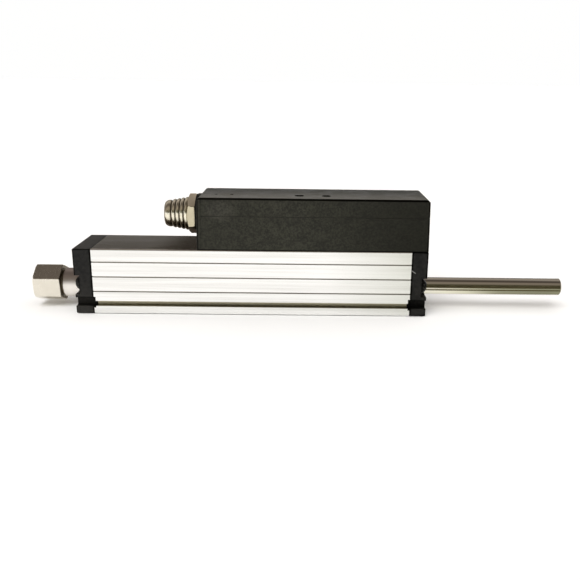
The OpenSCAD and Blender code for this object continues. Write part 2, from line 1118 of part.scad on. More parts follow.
module trimmer_screw(i) {
    color("#c6a452")
        at_trimmer(i)
            translate([0, 0, trim_body_h - rotor_in + rotor_gap])
                difference() {
                    cylinder(d = rotor_d, h = rotor_h);
                    translate([-rotor_d, -rotor_slot_w / 2, rotor_h - rotor_slot_deep])
                        cube([2 * rotor_d, rotor_slot_w, rotor_slot_deep + over]);
                }
}

module zero_trimmer_body() {
    trimmer_body(0);
}

module zero_trimmer_screw() {
    trimmer_screw(0);
}

module span_trimmer_body() {
    trimmer_body(1);
}

module span_trimmer_screw() {
    trimmer_screw(1);
}

// Places what is drawn for one terminal at each way, with x = 0 at the side the wires enter
module at_ways() {
    for (i = [0 : ways - 1])
        translate([terminal_x, (i - (ways - 1) / 2) * way_pitch, board_top])
            children();
}

module terminal_block() {
    color("#3f7d52")
        difference() {
            at_ways()
                translate([0, -way_pitch / 2, 0])
                    cube([terminal_len, way_pitch, terminal_h]);
            at_ways() {
                translate([-over, -terminal_mouth / 2, over])
                    cube([terminal_len / 2, terminal_mouth, terminal_mouth]);
                translate([terminal_len / 2, 0, terminal_h - terminal_screw_h])
                    cylinder(d = terminal_screw_d + 2 * rotor_gap, h = terminal_screw_h + over);
            }
        }
}

module terminal_screws() {
    color(steel)
        at_ways()
            translate([terminal_len / 2, 0, terminal_h - terminal_screw_h])
                difference() {
                    cylinder(d = terminal_screw_d, h = terminal_screw_h - over / 2);
                    translate([-rotor_slot_w / 2, -terminal_screw_d, terminal_screw_h - over])
                        cube([rotor_slot_w, 2 * terminal_screw_d, over]);
                }
}

// Each chip is its distance along the board, its place across it, and its three sizes
module board_chips() {
    color("#1e1e20")
        for (c = chips)
            translate([board_x0 + c[0] - c[2] / 2, c[1] - c[3] / 2, board_top])
                cube([c[2], c[3], c[4]]);
}

module board_capacitors() {
    r = can_d / 2;
    color("#c9c9c4")
        for (c = cans)
            translate([board_x0 + c[0], c[1], board_top])
                rotate_extrude()
                    polygon([[0, 0], [r, 0], [r, can_h - can_r], [r - can_r, can_h], [0, can_h]]);
}

// Box outlet: a hexagon with a tapered nose of ribs, each crowned between two valleys

function nose_r(s, len) = (nose_root_d + (nose_tip_d - nose_root_d) * s / len) / 2;

module conduit_barb() {
    len = rib_count * rib_pitch + tip_rib_extra;
    stub = x_inner_boss + locknut_t + over / 2 - x_hex;
    bore_r = outlet_bore_d / 2;
    x_nose = x_hex - outlet_hex_t;
    ribs = [
        for (i = [0 : rib_count - 1])
            let (
                near = i * rib_pitch,
                far = i < rib_count - 1 ? near + rib_pitch : len,
                rise = near + crown_edge * (far - near),
                fall = far - crown_edge * (far - near)
            )
            each [
                [nose_r(near, len) - rib_step, near],
                [nose_r(rise, len), rise],
                [nose_r(fall, len), fall]
            ]
    ];
    tip_r = nose_r(len, len) - rib_step;
    color(plated)
        difference() {
            union() {
                chamfered_hex(outlet_af, x_nose, outlet_hex_t, outlet_z, hex_chamfer, 0);
                turned_back(x_nose, outlet_z)
                    polygon(concat([[bore_r, 0]], ribs, [[tip_r, len], [bore_r, len]]));
                bar_x(outlet_thread_d, x_hex, stub, 0, outlet_z);
            }
            bar_x(outlet_bore_d, x_nose - len - over, len + outlet_hex_t + stub + 2 * over, 0, outlet_z);
        }
}

module barb_seal() {
    color(rubber)
        turned_x(x_hex, outlet_z)
            translate([outlet_thread_d / 2 + fit_gap, 0])
                square([(outlet_seal_d - outlet_thread_d) / 2 - fit_gap, outlet_seal_t]);
}

module barb_locknut() {
    color(plated)
        difference() {
            hex_x(locknut_af, x_inner_boss, locknut_t, outlet_z);
            bar_x(outlet_thread_d + 2 * fit_gap, x_inner_boss - over, locknut_t + 2 * over, 0, outlet_z);
        }
}

extruded_body();
rear_end_cap();
front_end_cap();
rear_cap_gasket();
front_cap_gasket();
rear_cap_screws();
front_cap_screws();
rod_bush();
rod_scraper();
front_buffer();
rear_buffer();
track_board();
track_films();
measuring_rod();
wiper_carriage();
carriage_pin();
slide_shoes();
wiper_brushes();
gland_body();
gland_nut();
gland_seal();
box_base();
box_lid();
box_end_plate();
box_fixing_screws();
lead_grommet();
track_leads();
signal_board();
board_screws();
zero_trimmer_body();
zero_trimmer_screw();
span_trimmer_body();
span_trimmer_screw();
terminal_block();
terminal_screws();
board_chips();
board_capacitors();
conduit_barb();
barb_seal();
barb_locknut();
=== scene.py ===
import json
import math

import bmesh
import bpy
from mathutils import Matrix, Vector

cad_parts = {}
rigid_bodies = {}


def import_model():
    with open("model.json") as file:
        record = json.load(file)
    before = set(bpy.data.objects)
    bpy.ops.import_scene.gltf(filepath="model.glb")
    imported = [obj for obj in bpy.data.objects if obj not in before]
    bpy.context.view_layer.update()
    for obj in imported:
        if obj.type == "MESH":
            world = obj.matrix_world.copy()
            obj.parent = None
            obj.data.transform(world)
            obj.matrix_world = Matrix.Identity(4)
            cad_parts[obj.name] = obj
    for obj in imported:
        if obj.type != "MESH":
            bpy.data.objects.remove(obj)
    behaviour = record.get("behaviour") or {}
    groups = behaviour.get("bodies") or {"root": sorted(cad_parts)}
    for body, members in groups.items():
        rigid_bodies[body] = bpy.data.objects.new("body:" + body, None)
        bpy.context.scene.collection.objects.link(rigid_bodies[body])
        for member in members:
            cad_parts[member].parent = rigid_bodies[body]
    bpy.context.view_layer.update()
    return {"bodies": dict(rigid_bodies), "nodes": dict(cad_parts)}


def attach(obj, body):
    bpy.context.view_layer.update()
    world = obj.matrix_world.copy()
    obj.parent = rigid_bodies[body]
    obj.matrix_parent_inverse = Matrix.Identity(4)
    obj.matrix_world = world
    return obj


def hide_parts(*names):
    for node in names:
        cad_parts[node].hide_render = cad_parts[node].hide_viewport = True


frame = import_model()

for spare in set(bpy.data.objects) - set(frame["nodes"].values()) - set(frame["bodies"].values()):
    bpy.data.objects.remove(spare)


# Camera
# It stands about a third of a metre in front of the body, above it and looking down at it, with a
# slight tilt. A pinhole camera fitted to edges measured in the photograph gave these values.
stands_at = Vector((0.023938, -0.320513, 0.103673))
turned_by, dipped_by, tilted_by = (math.radians(a) for a in (0.7065, 16.2343, 0.7791))
ahead = Vector((
    math.sin(turned_by) * math.cos(dipped_by),
    math.cos(turned_by) * math.cos(dipped_by),
    -math.sin(dipped_by),
))
level = Vector((math.cos(turned_by), -math.sin(turned_by), 0))
across = math.cos(tilted_by) * level + math.sin(tilted_by) * level.cross(ahead)
camera = bpy.data.objects.new("camera", bpy.data.cameras.new("camera"))
camera.data.sensor_width = 36
camera.data.lens = 43.769
camera.data.shift_x = -0.03888
camera.data.shift_y = -0.00971
camera.data.clip_start = 0.01
camera.matrix_world = (
    Matrix.Translation(stands_at) @ Matrix((across, across.cross(ahead), -ahead)).transposed().to_4x4()
)
bpy.context.scene.collection.objects.link(camera)
bpy.context.scene.camera = camera


# Extruded section
# A hollow 30 mm square bar pushed through a die in soft aluminium alloy and anodised in its natural
# colour. The die leaves fine lines along it. Painted shade darkens the grooves and the slots, the top
# has a painted warm reflection, and a painted shadow darkens the top next to the box.
class Wire:
    """An output of a node. Arithmetic on it adds the Math nodes that work it out."""

    def __init__(self, nodes, socket):
        self.nodes = nodes
        self.socket = socket

    def calc(self, operation, first, second):
        return self.nodes.node("ShaderNodeMath", {"operation": operation}, {0: first, 1: second})

    def __add__(self, other):
        return self.calc("ADD", self, other)

    def __radd__(self, other):
        return self.calc("ADD", other, self)

    def __sub__(self, other):
        return self.calc("SUBTRACT", self, other)

    def __rsub__(self, other):
        return self.calc("SUBTRACT", other, self)

    def __mul__(self, other):
        return self.calc("MULTIPLY", self, other)

    def __rmul__(self, other):
        return self.calc("MULTIPLY", other, self)

    def __truediv__(self, other):
        return self.calc("DIVIDE", self, other)

    def __pow__(self, other):
        return self.calc("POWER", self, other)

    def __lt__(self, other):
        return self.calc("LESS_THAN", self, other)

    def __gt__(self, other):
        return self.calc("GREATER_THAN", self, other)

    def __neg__(self):
        return self.calc("SUBTRACT", 0, self)

    def __abs__(self):
        return self.calc("ABSOLUTE", self, 0)

    def most(self, other):
        return self.calc("MAXIMUM", self, other)


class Nodes:
    """A tree of nodes, with one way to add a node and one way to feed a socket."""

    def __init__(self, tree, shader):
        self.tree = tree
        self.shader = tree.nodes[shader]

    def node(self, kind, settings=None, inputs=None, output=0):
        made = self.tree.nodes.new(kind)
        for key, value in (settings or {}).items():
            if key == "stops":
                self.stops(made.color_ramp, value)
            else:
                setattr(made, key, value)
        for key, value in (inputs or {}).items():
            self.feed(made.inputs[key], value)
        return Wire(self, made.outputs[output])

    def stops(self, ramp, stops):
        while len(ramp.elements) < len(stops):
            ramp.elements.new(1)
        for element, (position, colour) in zip(ramp.elements, stops):
            element.position = position
            element.color = (*colour, 1)

    def feed(self, socket, value):
        if isinstance(value, Wire):
            self.tree.links.new(value.socket, socket)
        elif socket.type == "RGBA":
            socket.default_value = (*value, 1)
        else:
            socket.default_value = value

    def set(self, socket, value):
        self.feed(self.shader.inputs[socket], value)

    def part(self, vector, axis):
        """One of a vector's three numbers."""
        return self.node("ShaderNodeSeparateXYZ", None, {0: vector}, output="XYZ".index(axis))

    def ease(self, value, low, high):
        """0 below low, 1 above high and a smooth rise between them."""
        limits = {0: value, 1: low, 2: high, 3: 0, 4: 1}
        return self.node("ShaderNodeMapRange", {"interpolation_type": "SMOOTHSTEP"}, limits)

    def mix(self, share, first, second):
        return self.node("ShaderNodeMix", {"data_type": "RGBA"}, {0: share, 6: first, 7: second}, output=2)

    def ramp(self, value, stops):
        return self.node("ShaderNodeValToRGB", {"stops": stops}, {0: value})


class Finish(Nodes):
    """A material made of nodes, whose fixed values sit on the shader's own sockets."""

    def __init__(self, name, **fixed):
        self.material = bpy.data.materials.new(name)
        self.material.use_nodes = True
        super().__init__(self.material.node_tree, "Principled BSDF")
        for socket, value in fixed.items():
            self.set(socket.replace("_", " "), value)

    def place(self):
        """Where a point lies, in metres in the part's own frame."""
        return self.node("ShaderNodeTexCoord", output="Object")

    def along(self, axis):
        return self.part(self.place(), axis)

    def facing(self, axis):
        """How far the surface looks along an axis, from -1 to 1."""
        return self.part(self.node("ShaderNodeNewGeometry", output="Normal"), axis)

    def noise(self, per_metre, detail=3, roughness=0.55):
        """Noise from 0 to 1, with its own number of features per metre along each axis."""
        scaled = self.node("ShaderNodeVectorMath", {"operation": "MULTIPLY"}, {0: self.place(), 1: per_metre})
        inputs = {"Vector": scaled, "Scale": 1, "Detail": detail, "Roughness": roughness}
        return self.node("ShaderNodeTexNoise", None, inputs)

    def bump(self, height, depth):
        """Raises the surface by up to depth metres where height is 1."""
        inputs = {"Strength": 1, "Distance": depth, "Height": height}
        self.set("Normal", self.node("ShaderNodeBump", None, inputs))


def dress(finish, *nodes):
    for node in nodes:
        frame["nodes"][node].material_slots[0].material = finish.material


section_half, section_top = 0.015, 0.030
groove_depth, slot_depth, shadow_by_box_along = (0.0001, 0.0004), (0.0008, 0.0016), (-0.046, -0.027)
alloy = Finish("alloy_section", Metallic=1)
wide_lines = alloy.noise((12, 700, 700), detail=4)
fine_lines = alloy.noise((30, 5200, 5200), detail=2)
blotches = alloy.noise((60, 160, 160))
lines = 0.65 * wide_lines + 0.35 * fine_lines
inset = section_half - abs(alloy.along("Y"))
on_side = (alloy.along("Z") < section_top - 0.001) * (alloy.along("Z") > 0.0005)
in_groove = alloy.ease(inset, *groove_depth) * on_side
in_slot = alloy.ease(inset, *slot_depth) * on_side
on_top = alloy.ease(alloy.facing("Z"), 0.9, 0.99)
# Painted shadow: the top darkens towards the box, where the box and the outlet shade it.
painted_shadow_by_box = on_top * alloy.ease(alloy.along("X"), *shadow_by_box_along)
satin = alloy.mix(alloy.ease(lines, 0.3, 0.62), (0.79, 0.79, 0.765), (0.96, 0.96, 0.945))
# Painted shade: the grooves and the clamp slot get darker colours than the open faces.
grooved = alloy.mix(in_groove, satin, (0.42, 0.40, 0.35))
slotted = alloy.mix(in_slot, grooved, (0.60, 0.56, 0.40))
# Painted reflection: faces that look up are tinted warm.
painted_warm_top = alloy.mix(0.3 * on_top, slotted, (0.92, 0.82, 0.70))
alloy.set("Base Color", alloy.mix(0.75 * painted_shadow_by_box, painted_warm_top, (0.20, 0.165, 0.125)))
alloy.set("Roughness", 0.07 + 0.06 * lines + 0.04 * blotches + 0.32 * in_groove - 0.035 * painted_shadow_by_box)
alloy.bump(lines, 0.000004)
dress(alloy, "extruded_body")


# Track board
# A long strip of glass-epoxy laminate in guides inside the section, with a resistive and a collector
# track printed on it in conductive ink. Cloth shows through the laminate as a fine weave.
laminate = Finish("track_laminate", Roughness=0.42)
weave = laminate.noise((2600, 400, 400), detail=1) + laminate.noise((400, 2600, 400), detail=1)
laminate.set("Base Color", laminate.mix(weave * 0.5, (0.055, 0.10, 0.045), (0.095, 0.16, 0.075)))
laminate.bump(weave, 0.00001)
dress(laminate, "track_board")
ink = Finish("track_ink", Roughness=0.3)
ink.set("Base Color", ink.mix(ink.noise((150, 3000, 150)), (0.008, 0.008, 0.009), (0.020, 0.020, 0.021)))
dress(ink, "track_films")


# Rod guide
# A sintered bronze bush and a rubber scraper ring sit in the front cap, and a rubber buffer stops the
# carriage at each end of its travel. Bronze powder pressed and baked stays full of fine pores.
bronze = Finish("bush_bronze", Metallic=1)
pores = bronze.ease(bronze.noise((4200, 4200, 4200), detail=2), 0.38, 0.5)
bronze.set("Base Color", bronze.mix(pores, (0.16, 0.10, 0.05), (0.45, 0.30, 0.13)))
bronze.set("Roughness", 0.62 - 0.2 * pores)
bronze.bump(pores, 0.00003)
dress(bronze, "rod_bush")

rubber = Finish("rubber_black", Specular_IOR_Level=0.1)
rubber_bloom = rubber.noise((300, 300, 300), detail=4)
rubber.set("Base Color", rubber.mix(rubber_bloom, (0.004, 0.004, 0.004), (0.012, 0.012, 0.011)))
rubber.set("Roughness", 0.5 + 0.25 * rubber_bloom)
rubber.bump(rubber.noise((5000, 5000, 5000), detail=2), 0.00002)
dress(rubber, "front_buffer", "rear_buffer")

rod_z = 10.4


def piece(name, shape, finish, sharp=35):
    """Makes an object of a mesh drawn in millimetres, with edges sharper than an angle left crisp."""
    bmesh.ops.remove_doubles(shape, verts=shape.verts, dist=0.0001)
    bmesh.ops.scale(shape, vec=(0.001, 0.001, 0.001), verts=shape.verts)
    bmesh.ops.recalc_face_normals(shape, faces=shape.faces)
    mesh = bpy.data.meshes.new(name)
    shape.to_mesh(mesh)
    shape.free()
    mesh.shade_smooth()
    mesh.set_sharp_from_angle(angle=math.radians(sharp))
    mesh.materials.append(finish.material)
    made = bpy.data.objects.new(name, mesh)
    bpy.context.scene.collection.objects.link(made)
    return made


def turned(outline, axis_z, steps=96):
    """Turns a closed outline about an axis along X. A point is (x, radius), or gives that for an angle."""
    shape = bmesh.new()
    rings = []
    for point in outline:
        ring = []
        for step in range(steps):
            angle = 2 * math.pi * step / steps
            x, r = point(angle) if callable(point) else point
            if r == 0 and ring:
                ring.append(ring[0])
            else:
                ring.append(shape.verts.new((x, r * math.cos(angle), axis_z + r * math.sin(angle))))
        rings.append(ring)
    for near, far in zip(rings, rings[1:] + rings[:1]):
        for a in range(steps):
            b = (a + 1) % steps
            corners = list(dict.fromkeys((near[a], near[b], far[b], far[a])))
            if len(corners) > 2:
                shape.faces.new(corners)
    return shape


scraper_outline = [
    (77.3, 6.48), (79.3, 6.48), (79.42, 6.44), (79.48, 6.34), (79.48, 5.75), (79.40, 5.6), (79.10, 5.3),
    (79.0, 5.05), (79.06, 4.8), (79.40, 4.3), (79.48, 4.18), (79.46, 4.08), (79.34, 4.05), (78.9, 4.05),
    (77.3, 4.65),
]
scraper = piece("rod_scraper_ring", turned(scraper_outline, rod_z), rubber, sharp=50)
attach(scraper, "housing")
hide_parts("rod_scraper")


# Measuring rod
# An 8 mm stainless steel rod, ground round and then rubbed by its bush into long wipe marks. Its tip is
# chamfered and tapped for an M5 stud, and its inner end is drilled across for the carriage's pin.
steel = Finish("rod_steel", Metallic=1)
grinding = steel.noise((9000, 40, 40), detail=2)
wiped = steel.noise((14, 2400, 2400), detail=3)
steel.set("Base Color", steel.mix(wiped, (0.52, 0.50, 0.43), (0.66, 0.63, 0.56)))
steel.set("Roughness", 0.035 + 0.03 * grinding + 0.05 * wiped)
steel.bump(grinding, 0.0000012)

rod_r = 4.0
rod_inner, rod_tip = -9.6, 145.0
pin_x, pin_hole_r = rod_inner + 8.0, 1.52
tap_r, tap_minor_r, tap_depth, tap_pitch = 2.5, 2.1, 12.0, 0.8
rod_outline = [
    (rod_inner, 0), (rod_inner, rod_r - 0.2), (rod_inner + 0.2, rod_r), (pin_x + 2 * pin_hole_r, rod_r),
    (rod_tip - 0.55, rod_r), (rod_tip - 0.45, rod_r - 0.04), (rod_tip - 0.06, rod_r - 0.44),
    (rod_tip, rod_r - 0.55), (rod_tip, tap_r + 0.3), (rod_tip - 0.3, tap_r),
    (rod_tip - tap_depth + 0.9, tap_r), (rod_tip - tap_depth, 0),
]
rod = piece("ground_rod", turned(rod_outline, rod_z, steps=128), steel)


def drilled(made, drill, sharp=35):
    """Cuts the shape of a drill out of a piece and puts the drill away."""
    cut = made.modifiers.new("drilled", "BOOLEAN")
    cut.operation = "DIFFERENCE"
    cut.solver = "EXACT"
    cut.object = drill
    bpy.context.view_layer.update()
    made.data = bpy.data.meshes.new_from_object(made.evaluated_get(bpy.context.evaluated_depsgraph_get()))
    made.data.set_sharp_from_angle(angle=math.radians(sharp))
    made.modifiers.clear()
    bpy.data.objects.remove(drill)


drill_shape = bmesh.new()
bmesh.ops.create_cone(
    drill_shape, cap_ends=True, segments=48, radius1=pin_hole_r, radius2=pin_hole_r, depth=3 * rod_r,
    matrix=Matrix.Translation((pin_x, 0, rod_z)) @ Matrix.Rotation(math.pi / 2, 4, "X"),
)
drilled(rod, piece("pin_drill", drill_shape, steel))


def coil(crest_r, root_r, pitch, start, length, axis_z, steps=40):
    """A thread's ridge, wound along X with its flanks meeting a hole's wall."""
    profile = ((-0.46, root_r), (-0.08, crest_r), (0.08, crest_r), (0.46, root_r))
    shape = bmesh.new()
    rows = []
    for step in range(int(length / pitch * steps) + 1):
        angle = 2 * math.pi * step / steps
        middle = start + pitch * step / steps
        row = []
        for x, r in profile:
            point = (middle + x * pitch, r * math.cos(angle), axis_z + r * math.sin(angle))
            row.append(shape.verts.new(point))
        rows.append(row)
    for near, far in zip(rows, rows[1:]):
        for a in range(4):
            b = (a + 1) % 4
            shape.faces.new((near[a], near[b], far[b], far[a]))
    shape.faces.new(rows[0])
    shape.faces.new(rows[-1])
    return shape


thread_start, thread_length = rod_tip - tap_depth + 1.6, tap_depth - 2.3
thread_shape = coil(tap_minor_r, tap_r + 0.02, tap_pitch, thread_start, thread_length, rod_z)
rod_thread = piece("rod_tip_thread", thread_shape, steel)
for made in (rod, rod_thread):
    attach(made, "rod")
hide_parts("measuring_rod")


# Carriage
# A block of moulded ivory acetal on the rod's inner end, pinned across it. White low-friction shoes
# keep it from turning, and two sprung contact arms lean on the tracks.
def moulded(name, dark, light, roughness, grain, depth, **fixed):
    """Moulded plastic: clouded colour, uneven gloss and the fine grain of the mould."""
    made = Finish(name, **fixed)
    clouds = made.noise((220, 220, 220), detail=4)
    texture = made.noise((grain, grain, grain), detail=2)
    made.set("Base Color", made.mix(0.6 * clouds + 0.4 * texture, dark, light))
    made.set("Roughness", roughness - 0.08 + 0.16 * clouds)
    made.bump(texture, depth)
    return made


def worked(name, dark, light, roughness, marks, depth):
    """Bare metal with tool marks, whose features per metre are given along each axis."""
    made = Finish(name, Metallic=1)
    streaks = made.noise(marks, detail=3)
    tarnish = made.noise((350, 350, 350), detail=4)
    made.set("Base Color", made.mix(0.5 * streaks + 0.5 * tarnish, dark, light))
    made.set("Roughness", roughness - 0.06 + 0.08 * streaks + 0.06 * tarnish)
    made.bump(streaks, depth)
    return made


ivory = moulded("carriage_ivory", (0.62, 0.58, 0.46), (0.76, 0.72, 0.60), 0.4, 3000, 0.00001)
white = moulded("shoe_white", (0.80, 0.79, 0.74), (0.89, 0.88, 0.84), 0.55, 2500, 0.00001)
springy = worked("brush_alloy", (0.50, 0.34, 0.12), (0.68, 0.50, 0.22), 0.25, (40, 4000, 4000), 0.000002)
zinced = worked("small_steel", (0.46, 0.46, 0.45), (0.64, 0.64, 0.61), 0.3, (2500, 2500, 2500), 0.000004)
dress(ivory, "wiper_carriage")
dress(white, "slide_shoes")
dress(springy, "wiper_brushes")
dress(zinced, "carriage_pin")


# End caps and gaskets
# Black glass-filled nylon mouldings that close the section, with a flat rubber gasket behind each.
# Their faces carry the mould's fine matt grain, and their outer edges are rubbed a little paler.
squarely = (0.965, 0.995)
cap_edge, cap_end_edge = (section_half - 0.0006, section_half - 0.0003), (0.0788, 0.0794)
rear_joint, front_joint = -0.0720, 0.0728
scratch_at, scratch_half_width, scratch_half_length = (0.0731, 0.0209), 0.00013, 0.0011
cap_black = Finish("cap_black", Specular_IOR_Level=0.25)
cap_clouds = cap_black.noise((260, 260, 260), detail=4)
cap_sparks = cap_black.noise((2600, 2600, 2600), detail=3, roughness=0.6)
cap_mottle = cap_black.noise((650, 650, 650), detail=3, roughness=0.6)
cap_grain = cap_black.ease(0.3 * cap_clouds + 0.45 * cap_mottle + 0.25 * cap_sparks, 0.36, 0.64)
cap_side = abs(cap_black.along("Y"))
cap_height = abs(cap_black.along("Z") - section_top / 2)
cap_length = abs(cap_black.along("X"))
at_side = cap_black.ease(cap_side, *cap_edge)
at_level = cap_black.ease(cap_height, *cap_edge)
at_end = cap_black.ease(cap_length, *cap_end_edge)
cap_corners = at_side * at_level + at_side * at_end + at_level * at_end
cap_rubbed = cap_corners * cap_black.ease(cap_clouds, 0.5, 0.75)
cap_body = cap_black.mix(cap_grain, (0.0006, 0.0006, 0.0005), (0.0135, 0.0128, 0.0116))
# Dust with a painted sheen: faces that look up are paler; the rear cap is also paler towards its foot.
cap_dust_and_sheen = cap_black.ease(cap_black.facing("Z"), 0.8, 0.98) * cap_grain
cap_foot = cap_black.ease(section_top / 2 - cap_black.along("Z"), 0.0, 0.012) * (cap_black.along("X") < 0)
cap_dust_sheen_colour = cap_black.mix(0.31 * cap_dust_and_sheen + 0.15 * cap_foot, cap_body, (0.085, 0.080, 0.068))
cap_edges = cap_black.mix(cap_rubbed * 0.4, cap_dust_sheen_colour, (0.050, 0.048, 0.044))

scratch_x = cap_black.along("X") - scratch_at[0]
scratch_z = cap_black.along("Z") - scratch_at[1]
across_scratch = abs(scratch_x * 0.55 + scratch_z * 0.83)
along_scratch = abs(scratch_x * 0.83 - scratch_z * 0.55)
on_front = cap_black.along("Y") < 0.0002 - section_half
scratch = (across_scratch < scratch_half_width) * (along_scratch < scratch_half_length) * on_front

cap_inset = cap_black.ease(section_half - cap_side, 0.0004, 0.0014) * (cap_height < 0.0145)
cap_ends = cap_black.ease(abs(cap_black.facing("X")), *squarely)
cap_sides = cap_black.ease(abs(cap_black.facing("Y")), *squarely)
cap_levels = cap_black.ease(abs(cap_black.facing("Z")), *squarely)
cap_joints = (cap_black.along("X") > rear_joint) * (cap_black.along("X") < front_joint)
cap_rims = (cap_length > cap_end_edge[0]) + cap_joints
# Painted shade: curved faces, faces set in from the outline and the rims at the outer end and at the joint
# turn metallic with an almost black colour, so they show dark.
cap_shadow = 1 - cap_ends - (cap_sides + cap_levels) * (1 - cap_inset) * (1 - cap_rims)
cap_black.set("Base Color", cap_black.mix(scratch, cap_edges, (0.26, 0.26, 0.25)))
cap_black.set("Metallic", (0.75 * cap_shadow + 0.2 * cap_rims) * (1 - scratch))
cap_black.set("Roughness", 0.40 + 0.16 * cap_clouds + 0.10 * cap_grain)
cap_black.bump(cap_sparks, 0.00003)
dress(cap_black, "rear_end_cap", "front_end_cap")
dress(rubber, "rear_cap_gasket", "front_cap_gasket")


# Cap screws
# Domed steel screws with a cross recess, blackened in an oxide bath. They cut their own threads in
# the section's ports, and the driver has rubbed the oxide where it turned them.
oxide = Finish("screw_black", Specular_IOR_Level=0.08)
oxide_film = oxide.noise((900, 900, 900), detail=4)
oxide_rubbed = oxide.ease(oxide_film, 0.5, 0.72)
oxide.set("Base Color", oxide.mix(oxide_rubbed, (0.002, 0.002, 0.002), (0.045, 0.042, 0.037)))
oxide.set("Roughness", 0.26 + 0.22 * oxide_film)
oxide.bump(oxide_film, 0.00001)
dress(oxide, "rear_cap_screws", "front_cap_screws")


# Rear cable gland
# A neck turned in brass and screwed into the rear cap, and a hexagon nut that squeezes a rubber insert
# on the cable. Both are nickel plated, so they are bright with fine turning marks under the plating.
x_cap, x_neck, x_nut_end, x_nut = -79.5, -87.8, -88.7, -101.1
nickel = Finish("plated_brass", Metallic=1)
turning = nickel.noise((3600, 60, 60), detail=2)
plating = nickel.noise((240, 240, 240), detail=5)
gland_x = nickel.along("X")
# Painted shade: the nut's end face and the thread in the gap before the neck are given a dark colour.
gap_shade = (gland_x > (x_nut_end - 0.12) / 1000) * (gland_x < (x_neck + 0.05) / 1000)
on_neck = (gland_x > x_neck / 1000) * (gland_x < x_cap / 1000)
# Painted light and shade: the neck's colour runs from very pale on its underside to dark on its top.
neck_top_shade = nickel.ease(nickel.facing("Z"), 0.0, 0.55)
plated = nickel.mix(plating, (0.68, 0.64, 0.55), (0.86, 0.82, 0.73))
neck_shaded_colour = nickel.mix(neck_top_shade, (0.95, 0.915, 0.865), (0.54, 0.48, 0.45))
neck_with_painted_shade = nickel.mix(on_neck, plated, neck_shaded_colour)
nickel.set("Base Color", nickel.mix(gap_shade, neck_with_painted_shade, (0.26, 0.225, 0.16)))
nickel.set("Roughness", 0.17 + 0.08 * turning + 0.10 * plating + 0.20 * gap_shade + 0.22 * on_neck)
nickel.bump(turning, 0.0000025)

neck_r, neck_thread_r, neck_bore_r, cap_thread_r = 6.7, 5.8, 3.3, 4.98
neck_inner, neck_outer = x_cap + 7.7, x_nut_end - 7.0
neck_outline = [
    (neck_inner, neck_bore_r), (neck_inner, 4.8), (neck_inner - 0.3, cap_thread_r), (x_cap, cap_thread_r),
    (x_cap, neck_r - 0.2), (x_cap - 0.2, neck_r), (x_neck + 0.25, neck_r), (x_neck, neck_r - 0.25),
    (x_neck, neck_thread_r), (neck_outer + 0.4, neck_thread_r), (neck_outer, neck_thread_r - 0.4),
    (neck_outer, neck_bore_r),
]
neck = piece("gland_neck", turned(neck_outline, rod_z), nickel)


def hexagon(across_flats, angle, turn=0, edge_r=0):
    """Radius of a hexagon with a corner at the top, turned by some degrees, with its long edges rounded."""
    half = across_flats / 2
    off_flat = abs((angle - math.radians(turn) + math.pi / 6) % (math.pi / 3) - math.pi / 6)
    edge_at = (half - edge_r) / math.cos(math.pi / 6)
    if edge_r == 0 or off_flat < math.atan2(edge_at / 2, half):
        return half / math.cos(off_flat)
    off_edge = math.pi / 6 - off_flat
    return edge_at * math.cos(off_edge) + math.sqrt(edge_r ** 2 - (edge_at * math.sin(off_edge)) ** 2)


nut_af, nut_turn, nut_face_r, nut_slope, nut_edge_r, nut_break = 15.2, 6, 8.1, 0.74, 0.45, 0.12
nut_mouth_r, nut_thread_r, nut_seat_r = 3.8, 5.82, 5.02


def nut_flank(angle):
    return hexagon(nut_af, angle, nut_turn, nut_edge_r)


def nut_proud(angle):
    """How far the corners stand out past the round face of the nut's end."""
    return max(0, nut_flank(angle) - nut_face_r)


nut_outline = [
    (x_nut + 0.3, nut_mouth_r), (x_nut, nut_mouth_r + 0.3),
    lambda a: (x_nut, min(nut_flank(a), nut_face_r) - nut_break),
    lambda a: (x_nut + nut_break + nut_proud(a) * nut_slope, nut_flank(a)),
    lambda a: (x_nut_end - nut_break - 0.3 * nut_proud(a) * nut_slope, nut_flank(a)),
    lambda a: (x_nut_end, nut_flank(a) - nut_break - 0.3 * nut_proud(a)),
    (x_nut_end, nut_thread_r + 0.28), (x_nut_end - 0.28, nut_thread_r), (neck_outer, nut_thread_r),
    (neck_outer, nut_seat_r), (x_nut + 1.3, nut_seat_r), (x_nut + 1.3, nut_mouth_r),
]
nut = piece("gland_hex_nut", turned(nut_outline, rod_z, steps=360), nickel, sharp=25)

insert_outer, insert_inner, insert_r, insert_bore_r = x_nut + 1.32, x_nut + 5.38, 4.9, 2.75
insert_outline = [
    (insert_outer, insert_r), (insert_inner, insert_r), (insert_inner, insert_bore_r + 0.3),
    (x_nut + 5.1, insert_bore_r), (x_nut + 1.75, insert_bore_r), (x_nut + 1.45, insert_bore_r + 0.1),
    (insert_outer, insert_bore_r + 0.35),
]
insert = piece("gland_rubber_insert", turned(insert_outline, rod_z), rubber)
for made, node, slot in (
    (nut, "gland_nut", "plated_brass"),
    (neck, "gland_body", "plated_brass"),
    (insert, "gland_seal", "rubber_black"),
):
    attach(made, "housing")
    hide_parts(node)


